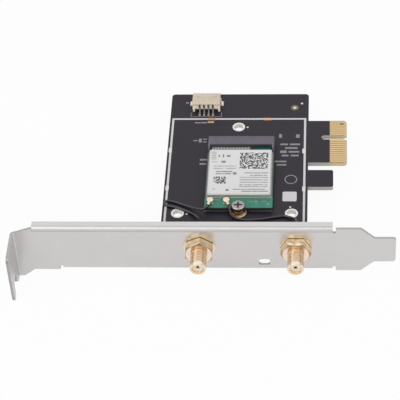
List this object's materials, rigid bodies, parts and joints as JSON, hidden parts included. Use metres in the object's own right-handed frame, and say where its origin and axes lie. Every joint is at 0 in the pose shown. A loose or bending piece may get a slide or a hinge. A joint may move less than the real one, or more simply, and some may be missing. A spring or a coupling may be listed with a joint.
{
  "type": "wifi expansion card",
  "caption": "Plug-in wireless card: black board with gold edge fingers, folded steel bracket with threaded antenna jacks, and a screwed-down radio module wired to the jacks.",
  "frame": {"origin": "centre of the edge connector's key slot, at the finger tips and half way through the board's thickness", "axes": "+X along the fingers into the slot, +Y along the board away from the bracket, +Z out of the component side"},
  "size_m": [0.1201, 0.0903, 0.0214],
  "materials": {
    "bracket_steel": "satin nickel plate",
    "board_black": "black solder mask over glass fibre",
    "contact_gold": "hard gold plate",
    "screw_steel": "nickel plate",
    "socket_plastic": "moulded, fine matt",
    "standoff_brass": "turned brass",
    "module_green": "green solder mask",
    "can_steel": "tin plate",
    "label_white": "matt printed film",
    "chip_black": "moulded",
    "header_cream": "moulded, natural",
    "pin_tin": "tin plate",
    "plug_metal": "pale gold plate",
    "lead_black": "smooth jacket",
    "jack_gold": "gold plate",
    "insulator_white": "waxy white",
    "sleeve_black": "shrink sleeve"
  },
  "bodies": {
    "root": {"io_bracket": "bracket_steel", "carrier_board": "board_black", "edge_contacts": "contact_gold", "bracket_screws": "screw_steel", "m2_socket_housing": "socket_plastic", "m2_socket_contacts": "contact_gold", "m2_standoff": "standoff_brass", "m2_screw": "screw_steel", "module_board": "module_green", "shield_can": "can_steel", "module_label": "label_white", "wireless_chip": "chip_black", "header_housing": "header_cream", "header_pins": "pin_tin", "header_tabs": "pin_tin", "antenna_receptacle_left": "contact_gold", "antenna_plug_left": "plug_metal", "antenna_cable_left": "lead_black", "sma_body_left": "jack_gold", "sma_nut_left": "jack_gold", "sma_washer_left": "jack_gold", "sma_insulator_left": "insulator_white", "sma_contact_left": "contact_gold", "crimp_sleeve_left": "sleeve_black", "antenna_receptacle_right": "contact_gold", "antenna_plug_right": "plug_metal", "antenna_cable_right": "lead_black", "sma_body_right": "jack_gold", "sma_nut_right": "jack_gold", "sma_washer_right": "jack_gold", "sma_insulator_right": "insulator_white", "sma_contact_right": "contact_gold", "crimp_sleeve_right": "sleeve_black"}
  },
  "joints": []
}
